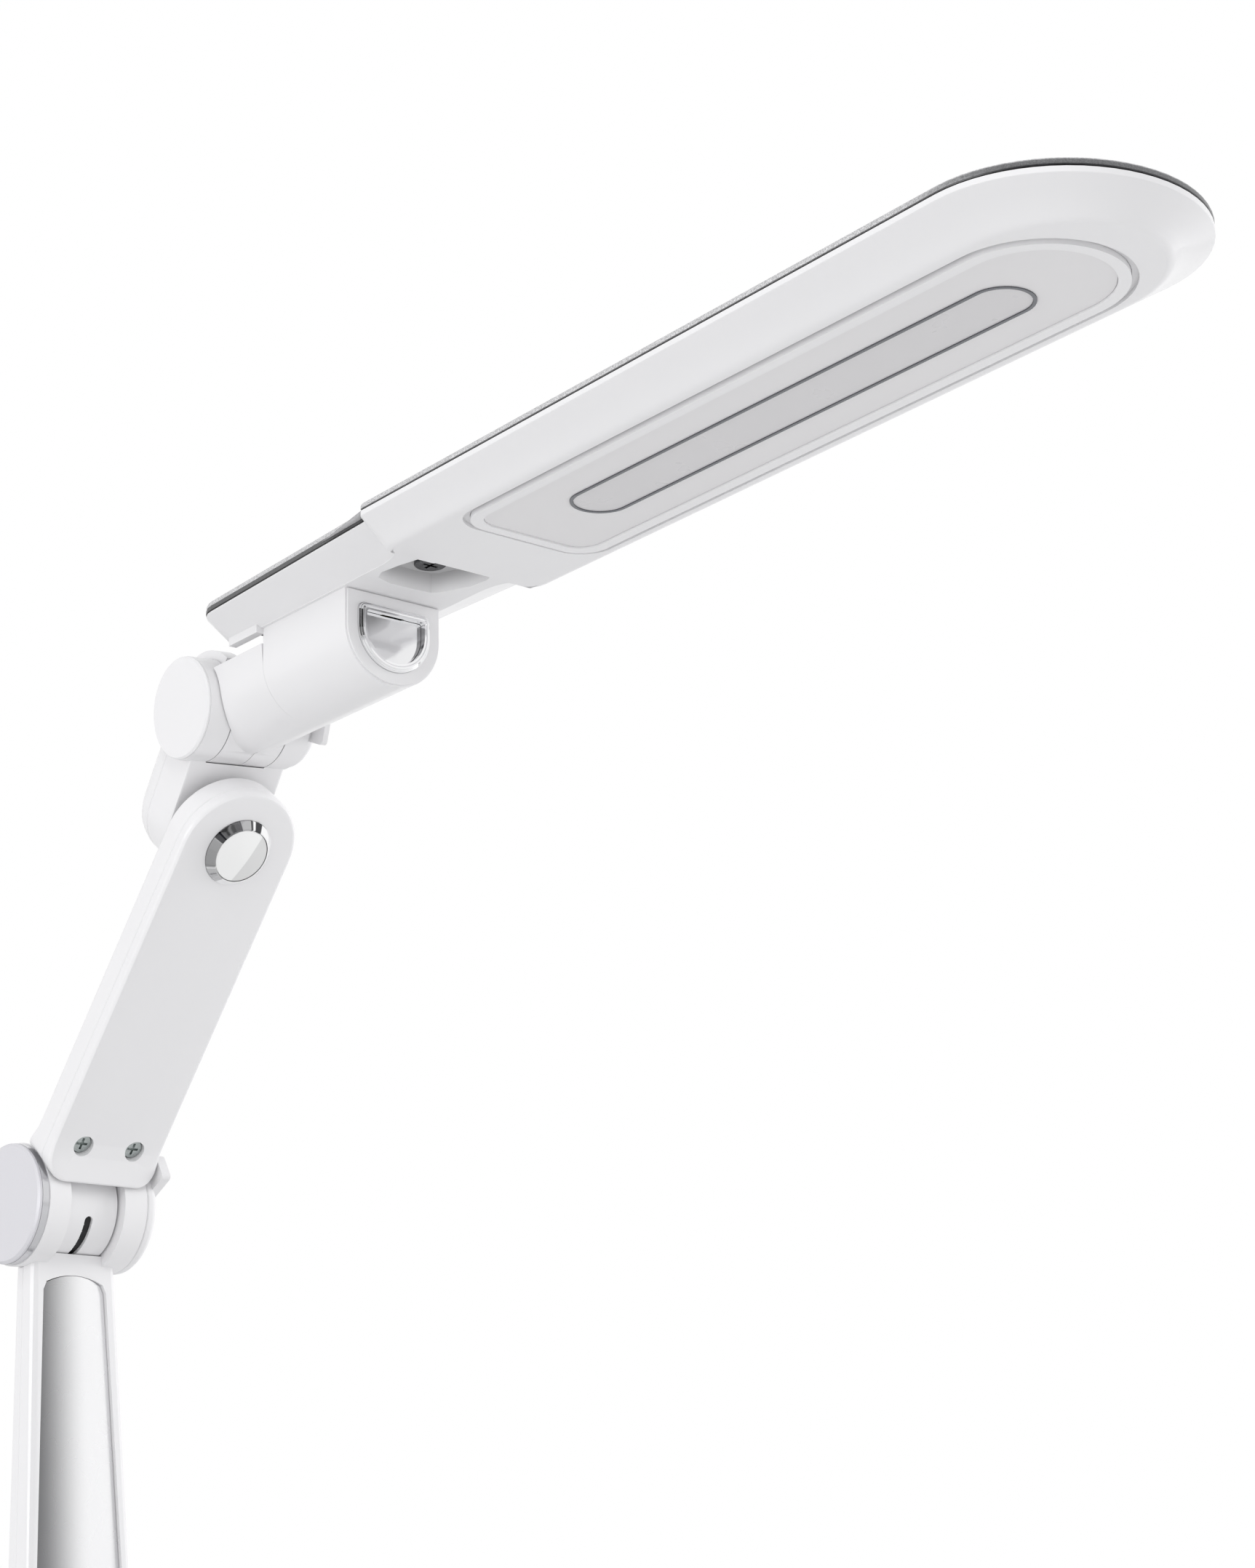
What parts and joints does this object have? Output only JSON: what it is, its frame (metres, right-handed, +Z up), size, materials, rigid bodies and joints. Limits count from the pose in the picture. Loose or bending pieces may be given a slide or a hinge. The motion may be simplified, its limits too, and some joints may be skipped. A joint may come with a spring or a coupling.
{
  "type": "folding led desk lamp",
  "caption": "Free-standing desk lamp with a weighted base, a two-stage folding arm, a swivelling link and a long flat tilting and rolling light head with a lit underside.",
  "frame": {"origin": "on the table, at the level of the rubber feet, under the axis of the base hinge and in the middle of the base's width", "axes": "+Z up, +X to the lamp's left as seen from its front, -Y towards the user and the light head"},
  "size_m": [0.166, 0.5378, 0.4495],
  "materials": {
    "white_gloss": "high gloss white",
    "white_satin": "satin white",
    "cover_silver": "speckled metallic paint",
    "insert_silver": "smooth satin",
    "cap_silver": "silver paint",
    "chrome": "mirror polish",
    "dark_chrome": "mirror polish",
    "screw_steel": "dark plated",
    "steel": "plain",
    "ballast": "as cast",
    "plate_grey": "matte paint",
    "rubber": "matte",
    "black_plastic": "matte",
    "washer_grey": "matte",
    "bush_ivory": "matte",
    "brass": "plain",
    "board_green": "solder mask",
    "board_white": "solder mask",
    "led_yellow": "phosphor",
    "diffuser_opal": "opal",
    "guide_clear": "clear",
    "lens_grey": "opal"
  },
  "bodies": {
    "base": {"base_housing": "white_gloss", "base_hinge_ears": "white_gloss", "base_bottom_plate": "plate_grey", "base_ballast": "ballast", "base_feet": "rubber", "base_screws": "steel", "base_control_board": "board_green", "base_switch": "black_plastic", "power_inlet": "black_plastic", "base_hinge_axle": "steel", "base_hinge_caps": "cap_silver"},
    "button": {"power_button": "cap_silver"},
    "lower_arm": {"base_hinge_washers": "washer_grey", "lower_arm_front": "white_gloss", "lower_arm_rear": "white_gloss", "lower_arm_insert": "insert_silver", "lower_arm_stiffener": "steel", "lower_arm_screws": "screw_steel", "elbow_axle": "steel", "elbow_cap": "cap_silver", "elbow_cap_rim": "white_gloss"},
    "elbow_clamp": {"elbow_knob": "white_satin"},
    "upper_arm": {"upper_arm_front": "white_gloss", "upper_arm_rear": "white_gloss", "elbow_drum": "white_satin", "elbow_washers": "washer_grey", "upper_arm_screws": "screw_steel", "swivel_ring": "chrome", "swivel_cap": "dark_chrome", "swivel_pin": "steel", "swivel_nut": "brass"},
    "link": {"link_front": "white_gloss", "link_rear": "white_gloss", "link_bush": "bush_ivory", "swivel_washer": "washer_grey", "link_screws": "screw_steel", "knuckle_axle": "steel", "knuckle_cap": "white_gloss", "knuckle_cap_rim": "white_gloss"},
    "knuckle_clamp": {"knuckle_knob": "white_satin"},
    "sleeve": {"tilt_sleeve": "white_gloss", "knuckle_washers": "washer_grey", "roll_shaft": "steel", "roll_nut": "brass"},
    "head": {"roll_washer": "washer_grey", "barrel_housing": "white_gloss", "barrel_trim_frame": "chrome", "barrel_trim_mirror": "dark_chrome", "head_housing": "white_gloss", "top_cover": "cover_silver", "cover_gasket": "rubber", "neck_screw": "screw_steel", "light_ring": "white_gloss", "diffuser": "diffuser_opal", "inlay_frame": "chrome", "inlay_lens": "lens_grey", "light_guide": "guide_clear", "led_board": "board_white", "leds": "led_yellow", "heat_spreader": "cover_silver"}
  },
  "joints": [
    {"name": "base_fold", "type": "hinge", "parent": "base", "child": "lower_arm", "pos_m": [0, 0, 0.036], "axis": [1, 0, 0], "range_deg": [-15, 85]},
    {"name": "elbow_fold", "type": "hinge", "parent": "lower_arm", "child": "upper_arm", "pos_m": [0, 0, 0.292], "axis": [-1, 0, 0], "range_deg": [-70, 42]},
    {"name": "link_swing", "type": "hinge", "parent": "upper_arm", "child": "link", "pos_m": [0, -0.09145, 0.39076], "axis": [0, -0.7337, -0.6794], "range_deg": [-85, 75]},
    {"name": "head_tilt", "type": "hinge", "parent": "link", "child": "sleeve", "pos_m": [-0.00316, -0.10389, 0.42744], "axis": [0.996, -0.0604, 0.0652], "range_deg": [-50, 33]},
    {"name": "head_roll", "type": "hinge", "parent": "sleeve", "child": "head", "pos_m": [-0.00329, -0.10393, 0.42943], "axis": [-0.0587, -0.9979, -0.0281], "range_deg": [-30, 40]},
    {"name": "elbow_knob_turn", "type": "hinge", "parent": "lower_arm", "child": "elbow_clamp", "pos_m": [0, 0, 0.292], "axis": [1, 0, 0], "range_deg": [-90, 90]},
    {"name": "knuckle_knob_turn", "type": "hinge", "parent": "link", "child": "knuckle_clamp", "pos_m": [-0.00316, -0.10389, 0.42744], "axis": [-0.996, 0.0604, -0.0652], "range_deg": [-90, 90]},
    {"name": "button_press", "type": "slide", "parent": "base", "child": "button", "axis": [0, 0, -1], "range_m": [0, 0.0008], "stiffness_N_per_m": 1000}
  ]
}
